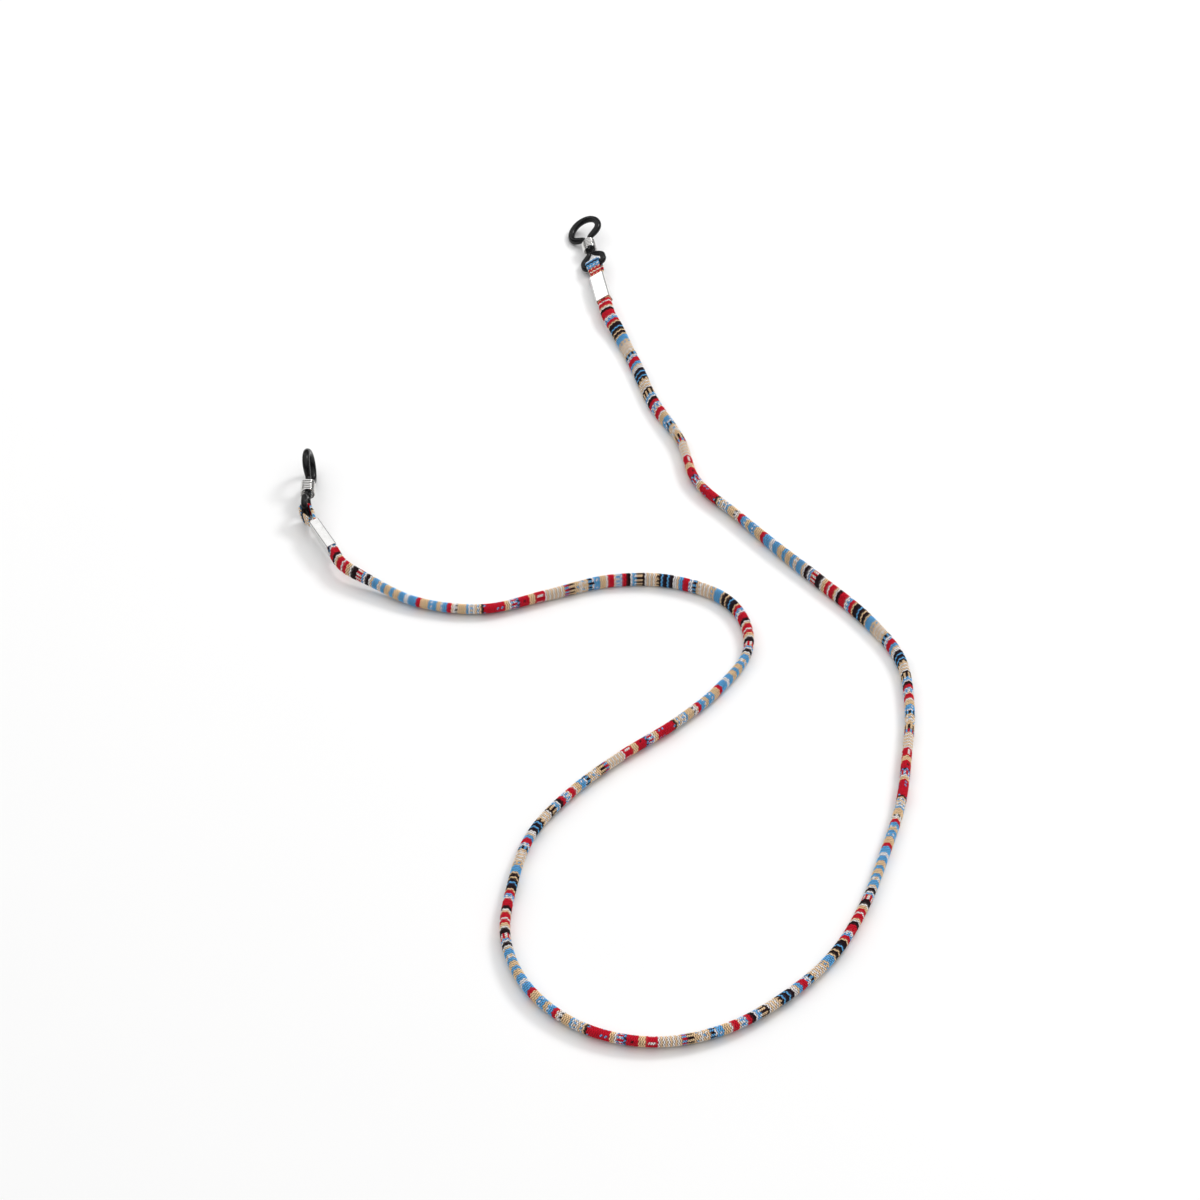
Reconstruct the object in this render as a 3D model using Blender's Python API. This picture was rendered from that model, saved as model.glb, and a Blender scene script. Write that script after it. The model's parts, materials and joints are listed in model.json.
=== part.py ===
"""Eyeglass retainer strap, laid out on a flat surface.

A woven sleeve over a filler core ends in a folded eye at each side.  A flat crimp clamps each
fold, a rubber loop hangs in each eye, and a wire coil slides on the loop's two strands to grip
the temple arm that is put through it.  Units are metres and +Z is up.  The origin lies on the
surface, under the middle of the box around the two sets of end fittings.
"""
import math

import bpy
from mathutils import Matrix, Vector

MM = 0.001

# Woven cord
SLEEVE_RADIUS = 2.3 * MM
SLEEVE_WALL = 0.8 * MM
CORE_RADIUS = 1.2 * MM
CORD_GAP = 0.3 * MM
CORD_POINTS = 76
STRAIGHT_EXIT = 7.0 * MM

# Crimp: a folded metal strip, closed along a seam on its back
CRIMP_LENGTH = 12.5 * MM
CRIMP_WIDTH = 5.2 * MM
CRIMP_HEIGHT = 3.2 * MM
CRIMP_WALL = 0.3 * MM
CRIMP_EDGE = 0.45 * MM
SEAM_WIDTH = 0.25 * MM

# Rubber loop, thinner where the coil pinches it
LOOP_RADIUS = 1.1 * MM
NECK_RADIUS = 0.8 * MM
FOOT_RADIUS = 0.95 * MM
NECK_HALF_WIDTH = 0.84 * MM
NECK_START = 6.4 * MM
NECK_END = 13.6 * MM
LOBE_HALF_WIDTH = 5.0 * MM
LOOP_TIP = 24.6 * MM
RUNNING_GAP = 0.25 * MM

# Folded end of the cord: two layers in the crimp, one turn round the rubber
FOLD_THICKNESS = 1.0 * MM
FOLD_WIDTH = 4.06 * MM
FOLD_EDGE = 0.4 * MM
LAYER_OFFSET = 0.6 * MM
EYE_REACH = 6.4 * MM
TAIL_SETBACK = 0.8 * MM

# Wire coil
WIRE_RADIUS = 0.26 * MM
COIL_GAP = 0.18 * MM
COIL_PITCH = 0.72 * MM
COIL_TURNS = 6.0
COIL_CENTRE = 9.7 * MM
POINTS_PER_TURN = 18

# Where the two ends lie: the eye's axis, the crimp's heading to the left of +Y, the roll of its
# wide face about that heading, and the turn of the loop about the eye's axis
ENDS = {
    "right": {"eye": (41.3, 57.3, 3.65), "heading": 10.0, "roll": 30.0, "swing": 0.0},
    "left": {"eye": (-45.0, -63.96, 4.65), "heading": 28.0, "roll": 100.0, "swing": 28.0},
}

# The cord's route on the surface between its two straight exits, in millimetres
ROUTE = [
    (48.5, 25.0, 3.2),
    (54.5, 7.5, 2.4),
    (60.0, -11.0, 2.4),
    (68.0, -28.5, 2.4),
    (72.5, -47.0, 2.4),
    (84.5, -62.5, 2.4),
    (96.0, -77.5, 2.4),
    (108.5, -92.5, 2.4),
    (120.5, -107.5, 2.4),
    (129.5, -124.5, 2.4),
    (131.0, -144.0, 2.4),
    (129.0, -163.0, 2.4),
    (126.0, -182.0, 2.4),
    (120.5, -200.5, 2.4),
    (114.0, -219.0, 2.4),
    (105.0, -236.0, 2.4),
    (92.0, -250.0, 2.4),
    (76.0, -261.0, 2.4),
    (57.5, -265.5, 2.4),
    (39.0, -261.0, 2.4),
    (24.5, -248.0, 2.4),
    (18.0, -230.5, 2.4),
    (19.5, -211.0, 2.4),
    (24.5, -192.5, 2.4),
    (35.5, -176.5, 2.4),
    (49.0, -163.0, 2.4),
    (64.0, -150.5, 2.4),
    (77.0, -136.5, 2.4),
    (86.0, -119.5, 2.4),
    (81.5, -101.5, 2.4),
    (65.0, -92.0, 2.4),
    (46.0, -91.5, 2.4),
    (27.5, -97.5, 2.4),
    (9.0, -103.0, 2.4),
    (-9.5, -100.5, 2.5),
    (-25.0, -92.5, 4.1),
]


def remove_scene_objects():
    """Start from an empty scene."""
    for item in list(bpy.data.objects):
        bpy.data.objects.remove(item, do_unlink=True)


def make_material(name, colour, metallic, roughness):
    """A plain Principled BSDF material."""
    material = bpy.data.materials.new(name)
    material.use_nodes = True
    shader = material.node_tree.nodes["Principled BSDF"]
    shader.inputs["Base Color"].default_value = (*colour, 1.0)
    shader.inputs["Metallic"].default_value = metallic
    shader.inputs["Roughness"].default_value = roughness
    material.diffuse_color = (*colour, 1.0)
    return material


def link(name, data, material, parent=None):
    """Add an object with its material, placed by its parent."""
    item = bpy.data.objects.new(name, data)
    bpy.context.scene.collection.objects.link(item)
    if material is not None:
        data.materials.append(material)
    item.parent = parent
    return item


def make_guide(item):
    """Mark a cutter or a profile that isn't a piece of the strap."""
    item.hide_render = True
    item.display_type = "WIRE"
    return item


def poly_curve(name, points, depth=0.0, radii=None, cyclic=False, resolution=2, caps=True):
    """A curve of straight steps through the points, with a round bevel."""
    curve = bpy.data.curves.new(name, "CURVE")
    curve.dimensions = "3D"
    curve.twist_mode = "MINIMUM"
    curve.bevel_depth = depth
    curve.bevel_resolution = resolution
    curve.use_fill_caps = caps
    spline = curve.splines.new("POLY")
    spline.points.add(len(points) - 1)
    for index, place in enumerate(points):
        spline.points[index].co = (*place, 1.0)
        spline.points[index].radius = radii[index] if radii else 1.0
    spline.use_cyclic_u = cyclic
    return curve


def smooth_route(knots, count):
    """Evenly spaced points on a smooth curve through the knots."""
    fine = []
    steps = 24
    for index in range(len(knots) - 1):
        before = knots[max(index - 1, 0)]
        start = knots[index]
        end = knots[index + 1]
        after = knots[min(index + 2, len(knots) - 1)]
        chord = (end - start).length
        lead_in = (end - before).normalized() * chord
        lead_out = (after - start).normalized() * chord
        for step in range(steps):
            t = step / steps
            fine.append(
                start * (2 * t**3 - 3 * t**2 + 1)
                + lead_in * (t**3 - 2 * t**2 + t)
                + end * (3 * t**2 - 2 * t**3)
                + lead_out * (t**3 - t**2)
            )
    fine.append(knots[-1].copy())
    return resample(fine, count)


def resample(points, count):
    """Points at equal distances along a chain of points."""
    runs = [0.0]
    for start, end in zip(points, points[1:]):
        runs.append(runs[-1] + (end - start).length)
    result = []
    span = 0
    for index in range(count):
        target = runs[-1] * index / (count - 1)
        while span < len(runs) - 2 and runs[span + 1] < target:
            span += 1
        share = (target - runs[span]) / (runs[span + 1] - runs[span])
        result.append(points[span].lerp(points[span + 1], share))
    return result


def end_matrix(end):
    """The frame of one end: X along the crimp to the loop, Z out of its wide face."""
    heading = Matrix.Rotation(math.radians(90.0 + end["heading"]), 4, "Z")
    roll = Matrix.Rotation(math.radians(-end["roll"]), 4, "X")
    place = Vector(end["eye"]) * MM
    return Matrix.Translation(place) @ heading @ roll


def crimp_mouth(end):
    """The middle of the crimp's outer mouth, where the cord enters."""
    return end_matrix(end) @ Vector((-EYE_REACH - CRIMP_LENGTH, 0.0, 0.0))


def cord_route():
    """The cord's points from the right crimp's mouth to the left one's."""
    route = []
    for side in ("right", "left"):
        end = ENDS[side]
        outward = -end_matrix(end).to_3x3().col[0]
        mouth = crimp_mouth(end) + outward * CORD_GAP
        exit_points = [mouth, mouth + outward * STRAIGHT_EXIT]
        if side == "right":
            route.extend(exit_points)
            route.extend(Vector(place) * MM for place in ROUTE)
        else:
            route.extend(reversed(exit_points))
    return smooth_route(route, CORD_POINTS)


def build_cord(cotton, filler):
    """The woven sleeve as a tube, and the filler core inside it."""
    points = cord_route()
    tube = poly_curve("woven_sleeve", points, SLEEVE_RADIUS, caps=False)
    sleeve = link("woven_sleeve", tube, cotton)
    wall = sleeve.modifiers.new("wall", "SOLIDIFY")
    wall.thickness = SLEEVE_WALL
    wall.offset = -1.0
    wall.use_rim = True
    link("filler_core", poly_curve("filler_core", points, CORE_RADIUS), filler)


def box_mesh(name, size):
    """A box centred on its origin."""
    half = [value / 2.0 for value in size]
    corners = []
    for x in (-half[0], half[0]):
        for y in (-half[1], half[1]):
            for z in (-half[2], half[2]):
                corners.append((x, y, z))
    faces = [(0, 1, 3, 2), (4, 6, 7, 5), (0, 4, 5, 1), (2, 3, 7, 6), (0, 2, 6, 4), (1, 5, 7, 3)]
    mesh = bpy.data.meshes.new(name)
    mesh.from_pydata(corners, [], faces)
    mesh.update()
    return mesh


def cut(item, cutter):
    """Take the cutter's shape out of the item."""
    step = item.modifiers.new("cut_" + cutter.name, "BOOLEAN")
    step.operation = "DIFFERENCE"
    step.solver = "EXACT"
    step.object = make_guide(cutter)


def build_crimp(side, frame, steel):
    """A flat tube with rounded long edges, open at both ends and along a seam on its back."""
    size = (CRIMP_LENGTH, CRIMP_WIDTH, CRIMP_HEIGHT)
    crimp = link(side + "_crimp", box_mesh(side + "_crimp", size), steel, frame)
    middle = -EYE_REACH - CRIMP_LENGTH / 2.0
    crimp.location = (middle, 0.0, 0.0)
    edges = crimp.modifiers.new("edges", "BEVEL")
    edges.width = CRIMP_EDGE
    edges.segments = 3
    edges.limit_method = "WEIGHT"
    weights = crimp.data.attributes.new("bevel_weight_edge", "FLOAT", "EDGE")
    for edge in crimp.data.edges:
        start, end = (crimp.data.vertices[index].co for index in edge.vertices)
        weights.data[edge.index].value = 1.0 if abs(start.x - end.x) > CRIMP_LENGTH / 2.0 else 0.0
    overshoot = 2.0 * MM
    bore_size = (
        CRIMP_LENGTH + overshoot,
        CRIMP_WIDTH - 2.0 * CRIMP_WALL,
        CRIMP_HEIGHT - 2.0 * CRIMP_WALL,
    )
    bore = link(side + "_crimp_bore", box_mesh(side + "_crimp_bore", bore_size), None, frame)
    bore.location = crimp.location
    cut(crimp, bore)
    seam_size = (CRIMP_LENGTH + overshoot, SEAM_WIDTH, 2.0 * CRIMP_WALL)
    seam = link(side + "_crimp_seam", box_mesh(side + "_crimp_seam", seam_size), None, frame)
    seam.location = (middle, 0.0, -(CRIMP_HEIGHT - CRIMP_WALL) / 2.0)
    cut(crimp, seam)


def fold_profile():
    """The flattened cord's section: a rectangle with rounded corners."""
    points = []
    half_width = FOLD_WIDTH / 2.0 - FOLD_EDGE
    half_thickness = FOLD_THICKNESS / 2.0 - FOLD_EDGE
    corners = ((1, 1, 0), (-1, 1, 90), (-1, -1, 180), (1, -1, 270))
    for across, through, start in corners:
        for step in range(3):
            angle = math.radians(start + 45.0 * step)
            x = across * half_width + FOLD_EDGE * math.cos(angle)
            y = through * half_thickness + FOLD_EDGE * math.sin(angle)
            points.append((x, y, 0.0))
    points.reverse()
    profile = link("fold_profile", poly_curve("fold_profile", points, cyclic=True), None)
    return make_guide(profile)


def fold_path():
    """The fold's middle line, in the frame of its end: out, round the eye and back."""
    bend = FOOT_RADIUS + RUNNING_GAP + FOLD_THICKNESS / 2.0
    mouth = -EYE_REACH
    far = mouth - CRIMP_LENGTH
    rise_steps = 8
    half = [(far + TAIL_SETBACK, LAYER_OFFSET), (mouth - CRIMP_LENGTH / 2.0, LAYER_OFFSET)]
    for step in range(rise_steps + 1):
        share = step / rise_steps
        ease = share * share * (3.0 - 2.0 * share)
        half.append((mouth * (1.0 - share), LAYER_OFFSET + (bend - LAYER_OFFSET) * ease))
    turn = []
    turn_steps = 12
    for step in range(1, turn_steps):
        angle = math.pi * (0.5 - step / turn_steps)
        turn.append((bend * math.cos(angle), bend * math.sin(angle)))
    back = [(x, -z) for x, z in reversed(half)]
    half[0] = (far, LAYER_OFFSET)
    return [Vector((x, 0.0, z)) for x, z in half + turn + back]


def build_fold(side, frame, profile, cotton):
    """The cord's flattened end: two layers through the crimp and one turn round the rubber."""
    curve = poly_curve(side + "_cord_eye", fold_path())
    curve.bevel_mode = "OBJECT"
    curve.bevel_object = profile
    link(side + "_cord_eye", curve, cotton, frame)


def loop_half():
    """Half of the rubber loop's middle line and its radii, from the eye to the tip."""
    foot_straight = FOLD_WIDTH / 2.0 + 0.2 * MM
    foot_bend = 1.35 * MM
    side_reach = foot_straight + foot_bend
    half = [(0.0, 0.0, FOOT_RADIUS), (0.0, foot_straight / 2.0, FOOT_RADIUS)]
    for step in range(4):
        angle = math.radians(30.0 * step)
        x = foot_bend * (1.0 - math.cos(angle))
        y = foot_straight + foot_bend * math.sin(angle)
        half.append((x, y, FOOT_RADIUS))
    shoulder = 2.7 * MM
    for step in range(7):
        share = step / 6.0
        ease = (1.0 - math.cos(math.pi * share)) / 2.0
        x = shoulder + (NECK_START - shoulder) * share
        y = side_reach + (NECK_HALF_WIDTH - side_reach) * ease
        half.append((x, y, FOOT_RADIUS + (NECK_RADIUS - FOOT_RADIUS) * ease))
    lobe_centre = LOOP_TIP - LOOP_RADIUS - LOBE_HALF_WIDTH
    throat = NECK_END + 1.5 * MM
    for step in range(9):
        share = step / 8.0
        rest = 1.0 - share
        widening = 3.0 * rest * share**2 + share**3
        x = NECK_END * rest**3 + throat * 3.0 * rest * share + lobe_centre * share**3
        y = NECK_HALF_WIDTH + (LOBE_HALF_WIDTH - NECK_HALF_WIDTH) * widening
        half.append((x, y, NECK_RADIUS + (LOOP_RADIUS - NECK_RADIUS) * min(1.0, 2.0 * share)))
    for step in range(1, 7):
        angle = math.radians(15.0 * step)
        x = lobe_centre + LOBE_HALF_WIDTH * math.sin(angle)
        y = LOBE_HALF_WIDTH * math.cos(angle)
        half.append((x, y, LOOP_RADIUS))
    return half


def build_loop(side, swing, rubber):
    """The closed rubber loop, pinched to a neck between its foot and its lobe."""
    half = loop_half()
    whole = half + [(x, -y, radius) for x, y, radius in reversed(half[1:-1])]
    points = [Vector((x, y, 0.0)) for x, y, radius in whole]
    radii = [radius / LOOP_RADIUS for x, y, radius in whole]
    curve = poly_curve(side + "_rubber_loop", points, LOOP_RADIUS, radii, cyclic=True)
    link(side + "_rubber_loop", curve, rubber, swing)


def coil_points():
    """The coil's wire: a round helix that clears the neck's two strands side by side."""
    radius = NECK_HALF_WIDTH + NECK_RADIUS + COIL_GAP + WIRE_RADIUS
    count = int(COIL_TURNS * POINTS_PER_TURN)
    length = COIL_PITCH * COIL_TURNS
    points = []
    for index in range(count + 1):
        share = index / count
        angle = 2.0 * math.pi * COIL_TURNS * share
        x = length * (share - 0.5)
        points.append(Vector((x, radius * math.sin(angle), radius * math.cos(angle))))
    return points


def build_coil(side, swing, steel):
    """The wire coil that slides on the loop's neck."""
    curve = poly_curve(side + "_cinch_coil", coil_points(), WIRE_RADIUS)
    coil = link(side + "_cinch_coil", curve, steel, swing)
    coil.location = (COIL_CENTRE, 0.0, 0.0)


def build_end(side, materials, profile):
    """One end's fittings, on an empty at the eye's axis and one that swings with the loop."""
    end = ENDS[side]
    frame = link(side + "_end", None, None)
    frame.matrix_world = end_matrix(end)
    swing = link(side + "_swing", None, None, frame)
    swing.rotation_euler = (0.0, math.radians(end["swing"]), 0.0)
    build_crimp(side, frame, materials["steel"])
    build_fold(side, frame, profile, materials["cotton"])
    build_loop(side, swing, materials["rubber"])
    build_coil(side, swing, materials["wire"])


def main():
    """Build the whole strap."""
    remove_scene_objects()
    materials = {
        "cotton": make_material("woven_cotton", (0.42, 0.12, 0.11), 0.0, 0.85),
        "filler": make_material("filler_yarn", (0.78, 0.74, 0.66), 0.0, 0.9),
        "steel": make_material("polished_steel", (0.80, 0.80, 0.80), 1.0, 0.15),
        "wire": make_material("bright_wire", (0.83, 0.82, 0.80), 1.0, 0.2),
        "rubber": make_material("black_rubber", (0.02, 0.02, 0.022), 0.0, 0.5),
    }
    build_cord(materials["cotton"], materials["filler"])
    profile = fold_profile()
    for side in ENDS:
        build_end(side, materials, profile)


main()
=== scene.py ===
"""Eyeglass retainer strap: a woven cord with a folded eye, a crimp, a rubber loop and a wire coil
at each end, laid out on a pale surface.  Units are metres and +Z is up."""
import json
import math

import bpy
import numpy as np
from bpy.props import FloatProperty, FloatVectorProperty, IntProperty, PointerProperty
from bpy.types import Operator, Panel, PropertyGroup
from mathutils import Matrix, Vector


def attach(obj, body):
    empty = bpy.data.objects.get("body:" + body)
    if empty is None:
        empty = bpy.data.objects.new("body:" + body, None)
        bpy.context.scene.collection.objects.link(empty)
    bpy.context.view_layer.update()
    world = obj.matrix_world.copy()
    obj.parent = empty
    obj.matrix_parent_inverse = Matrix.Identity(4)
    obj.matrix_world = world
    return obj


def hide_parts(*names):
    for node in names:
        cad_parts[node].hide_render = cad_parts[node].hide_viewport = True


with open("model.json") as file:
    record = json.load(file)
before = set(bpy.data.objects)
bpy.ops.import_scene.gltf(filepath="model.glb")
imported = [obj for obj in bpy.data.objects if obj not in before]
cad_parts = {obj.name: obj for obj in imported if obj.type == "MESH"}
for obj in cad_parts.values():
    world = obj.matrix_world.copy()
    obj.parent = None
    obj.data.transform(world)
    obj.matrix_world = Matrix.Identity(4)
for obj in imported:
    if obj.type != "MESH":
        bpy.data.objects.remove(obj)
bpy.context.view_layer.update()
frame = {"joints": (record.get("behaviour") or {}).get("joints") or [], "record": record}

bl_info = {
    "name": "Eyeglass Retainer Strap",
    "version": (1, 0, 0),
    "blender": (4, 5, 0),
    "location": "3D View > Sidebar > Strap",
    "description": "Builds a woven eyeglass retainer strap and its end fittings",
    "category": "Mesh",
}

MM = 0.001
SIDES = ("right", "left")

# The cord's route on the surface between its two straight exits
ROUTE = [
    (0.0485, 0.0250, 0.0032),
    (0.0545, 0.0075, 0.0024),
    (0.0600, -0.0110, 0.0024),
    (0.0680, -0.0285, 0.0024),
    (0.0725, -0.0470, 0.0024),
    (0.0845, -0.0625, 0.0024),
    (0.0960, -0.0775, 0.0024),
    (0.1085, -0.0925, 0.0024),
    (0.1205, -0.1075, 0.0024),
    (0.1295, -0.1245, 0.0024),
    (0.1310, -0.1440, 0.0024),
    (0.1290, -0.1630, 0.0024),
    (0.1260, -0.1820, 0.0024),
    (0.1205, -0.2005, 0.0024),
    (0.1140, -0.2190, 0.0024),
    (0.1050, -0.2360, 0.0024),
    (0.0920, -0.2500, 0.0024),
    (0.0760, -0.2610, 0.0024),
    (0.0575, -0.2655, 0.0024),
    (0.0390, -0.2610, 0.0024),
    (0.0245, -0.2480, 0.0024),
    (0.0180, -0.2305, 0.0024),
    (0.0195, -0.2110, 0.0024),
    (0.0245, -0.1925, 0.0024),
    (0.0355, -0.1765, 0.0024),
    (0.0490, -0.1630, 0.0024),
    (0.0640, -0.1505, 0.0024),
    (0.0770, -0.1365, 0.0024),
    (0.0860, -0.1195, 0.0024),
    (0.0815, -0.1015, 0.0024),
    (0.0650, -0.0920, 0.0024),
    (0.0460, -0.0915, 0.0024),
    (0.0275, -0.0975, 0.0024),
    (0.0090, -0.1030, 0.0024),
    (-0.0095, -0.1005, 0.0025),
    (-0.0250, -0.0925, 0.0041),
]

# How far the cord's wide side stands up from the surface, in degrees, at places along it
LEAN = [
    (0.000, 30), (0.008, 30), (0.028, 60), (0.056, 65), (0.068, 105), (0.081, 100),
    (0.101, 120), (0.112, 120), (0.126, 100), (0.140, 82), (0.160, 78), (0.182, 82),
    (0.198, 88), (0.214, 90), (0.245, 88), (0.274, 75), (0.301, 65), (0.326, 50),
    (0.360, 50), (0.390, 60), (0.413, 85), (0.437, 95), (0.459, 115), (0.478, 120),
    (0.500, 120), (0.523, 115), (0.544, 110), (0.568, 95), (0.590, 87), (0.611, 85),
    (0.629, 75), (0.647, 45), (0.668, 45), (0.684, 62), (0.695, 98), (0.710, 100),
]

# The weaving draft: each word is the yarns round the cord, repeated, and a number of rows.
# K is black, R crimson, B sky blue, T tan and W white.
CORD_DRAFT = """
K2 R4 W1 BW1 B1 R2 T1 K3 B1 K2 T1 K2 T1 B4 T1 BT1 T1 W1 T1 W1 T1 W1 TW1 T1 BK2 W1 BW1
R3 B2 T1 W2 K2 B1 K2 B1 K1 TK1 T1 W1 T1 W1 T1 W1 K1 KT3 BW1 B1 W1 K2 R2 BW1 WB2
TW1 R3 W1 T3 B1 BBBW1 B1 WWKW1 KB2 T1 TW1 BTTT1 W1 TW1 TTBT1 T1 KT3 RB2 T1 W1 T1 W1 T1 W1 T1 W1
T1 W1 R1 RRRW3 R1 T3 R2 RRRK1 R2 KB1 BR1 WR1 BR1 W1 T2 R1 RRRB1 R1 RRRB1 R5 RBRR1 K1 T1 WB1 T1 W1
BT1 W1 B1 T4 WK1 W1 WT1 R2 B2 BW1 T2 B2 BW1 B1 T4 R2 B4 W2 B3 T3 B2 T3 B2 TW2 B3 T1 W1 K2 W1
B1 TR1 WR2 K3 W1 T2 R2 W1 R3 T1 W1
"""
EYE_DRAFTS = {
    "right": "KR1 TR1 R1 TW1 R1 TR1 B1 WB1 B1 K1 B1 W1 KW1 B2 W1 K1 B2 T1 W1 R2 K1 T2 B2 W1 R1",
    "left": "W1 K1 TB1 T1 W1 T1 WT1 K1 BK1 T1 W1 T1 B1 K1 T1 W1 T1 R2 B1 W1 K1 T2 W1 B2 T1 R1",
}
YARNS = {
    "K": ("black", "black_yarn"),
    "R": ("crimson", "crimson_yarn"),
    "B": ("sky", "sky_yarn"),
    "T": ("tan", "tan_yarn"),
    "W": ("white", "white_yarn"),
}
YARN_ORDER = "KRBTW"

# How much of each yarn's colour shows in the ground weave under its floats; the rest is the dark
# ground colour, partly the ground yarn's own colour and partly painted shade in the gaps between the
# floats
YARN_SHOW_OVER_GAP_SHADE = {"K": 0.5, "R": 0.55, "B": 0.22, "T": 0.30, "W": 0.34}

# Each row is a zigzag of strokes, two floats to a stroke: which way a float is set from its row's
# middle, and which way it slants
WAVE_OFFSETS = (-1.0, 1.0, 1.0, -1.0)
WAVE_SLANTS = (1.0, 1.0, -1.0, -1.0)

# Where a crimp's narrow side has points, from one corner to the other
CROWN_STEPS = (0.75, 0.5, 0.25, 0.0, -0.25, -0.5, -0.75)

# How far apart the rows are pulled, at distances in metres along the cord
STRETCH = [(0.020, 1.0), (0.032, 1.135), (0.145, 1.135), (0.157, 1.0)]

# How square the cord's section is, where 2 is an oval: in a crimp, free, and in a folded end
CLAMPED_SQUARENESS = 4.5
FREE_SQUARENESS = 2.15
FOLD_SQUARENESS = 3.0

# How deep the floats sit in the ground weave, and how unevenly they are laid
FLOAT_SINK = 0.05 * MM
UNEVEN_PLACE = 0.015 * MM
UNEVEN_SLANT = math.radians(4.0)
UNEVEN_SIZE = 0.08

# The lights: where they stand, what they face and the length of their sides
KEY_PLACE = (0.75, 0.45, 0.95)
KEY_SIZE = 0.34
LOW_PLACE = (-0.607, 0.656, 0.457)
LOW_TARGET = (0.042, 0.045, 0.0)
LOW_SIZE = 0.36

# The horizon's brightness as a share of the sky's
DARK_HORIZON = 0.05


# --- Settings ---------------------------------------------------------------------------------


def length_property(name, description, default):
    """A size in metres."""
    return FloatProperty(name=name, description=description, default=default, unit="LENGTH")


def colour_property(name, description, default):
    """A linear colour."""
    return FloatVectorProperty(
        name=name, description=description, default=default, size=3, min=0.0, max=1.0,
        subtype="COLOR",
    )


class CordSettings(PropertyGroup):
    """Sizes of the woven cord and its yarns."""

    half_width: length_property("Half width", "Half the bare weave's wide side", 2.2 * MM)
    half_depth: length_property("Half depth", "Half the bare weave's narrow side", 1.3 * MM)
    clamped_width: length_property("Clamped width", "Half the wide side in a crimp", 2.08 * MM)
    clamped_depth: length_property("Clamped depth", "Half the narrow side in a crimp", 1.08 * MM)
    row_pitch: length_property("Row pitch", "Distance from one row of floats to the next", 0.6146 * MM)
    columns: IntProperty(name="Columns", description="Floats round the cord", default=32, min=4)
    column_width: length_property("Column width", "Width of one column of floats", 0.36 * MM)
    wave_height: length_property("Wave height", "From a row's low points to its high ones", 0.50 * MM)
    first_row: IntProperty(name="First row", description="Row of the draft at the start", default=-10)
    float_length: length_property("Float length", "Half the length of one yarn float", 0.29 * MM)
    float_width: length_property("Float width", "Half the width of one yarn float", 0.185 * MM)
    float_height: length_property("Float height", "How far a float stands out", 0.20 * MM)
    strand_radius: length_property("Strand radius", "Radius of one filler strand", 0.42 * MM)
    tuck: length_property("Tuck", "How far the cord goes into a crimp", 1.0 * MM)


class YarnSettings(PropertyGroup):
    """Colours of the yarns."""

    black: colour_property("Black", "Black yarn", (0.008, 0.005, 0.008))
    crimson: colour_property("Crimson", "Crimson yarn", (0.70, 0.006, 0.026))
    sky: colour_property("Sky", "Sky blue yarn", (0.14, 0.52, 0.95))
    tan: colour_property("Tan", "Tan yarn", (1.0, 0.72, 0.42))
    white: colour_property("White", "White yarn", (1.0, 0.97, 0.96))
    # The dark ground colour is partly the ground yarn's own and partly painted shade in the gaps
    # between the floats
    ground: colour_property("Ground", "Ground weave between the floats", (0.045, 0.006, 0.010))
    filler: colour_property("Filler", "Filler strands inside the cord", (0.72, 0.67, 0.56))


class EyeSettings(PropertyGroup):
    """Sizes of the cord's folded ends."""

    half_width: length_property("Half width", "Half the bare fold's width in the crimp", 2.0 * MM)
    spread: length_property("Spread", "How far the fold widens each way at the eye", 0.26 * MM)
    half_depth: length_property("Half depth", "Half the bare fold's thickness", 0.33 * MM)
    layer_offset: length_property("Layer offset", "From the crimp's middle to a layer's", 0.6 * MM)
    bend_radius: length_property("Bend radius", "Radius of the fold's middle at the eye", 1.7 * MM)
    setback: length_property("Setback", "From the crimp's outer mouth to the fold's ends", 1.6 * MM)


class CrimpSettings(PropertyGroup):
    """Sizes of the crimps."""

    length: length_property("Length", "Along the cord", 12.5 * MM)
    width: length_property("Width", "Across the wide face", 5.2 * MM)
    height: length_property("Height", "Across the narrow face", 3.2 * MM)
    wall: length_property("Wall", "Sheet thickness", 0.3 * MM)
    corner: length_property("Corner", "Radius of the long edges", 0.45 * MM)
    crown: length_property("Crown", "How far the narrow sides bulge", 0.08 * MM)
    seam: length_property("Seam", "Gap between the folded edges", 0.25 * MM)
    reach: length_property("Reach", "From the eye's axis to the crimp's near mouth", 6.4 * MM)


class LoopSettings(PropertyGroup):
    """Sizes of the rubber loops."""

    radius: length_property("Radius", "Radius of the rubber at the lobe", 1.1 * MM)
    neck_radius: length_property("Neck radius", "Radius of the rubber in the coil", 0.8 * MM)
    foot_radius: length_property("Foot radius", "Radius of the rubber in the eye", 0.95 * MM)
    neck_half_width: length_property("Neck half width", "Strand to middle line in the coil", 0.84 * MM)
    neck_start: length_property("Neck start", "From the eye's axis to the neck", 6.4 * MM)
    neck_end: length_property("Neck end", "From the eye's axis to the neck's far end", 13.6 * MM)
    foot_half_width: length_property("Foot half width", "Half the foot's straight part", 2.23 * MM)
    foot_bend: length_property("Foot bend", "Bend at each end of the foot", 1.35 * MM)
    lobe_half_width: length_property("Lobe half width", "Half the lobe, to its middle line", 5.0 * MM)
    tip: length_property("Tip", "From the eye's axis to the loop's tip", 24.6 * MM)


class CoilSettings(PropertyGroup):
    """Sizes of the wire coils."""

    wire_radius: length_property("Wire radius", "Radius of the wire", 0.23 * MM)
    pitch: length_property("Pitch", "Distance from one turn to the next", 0.72 * MM)
    turns: FloatProperty(name="Turns", description="Turns of wire", default=6.0, min=1.0)
    centre: length_property("Centre", "From the eye's axis to the coil's middle", 9.7 * MM)
    gap: length_property("Gap", "Between the rubber and the wire", 0.21 * MM)


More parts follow.
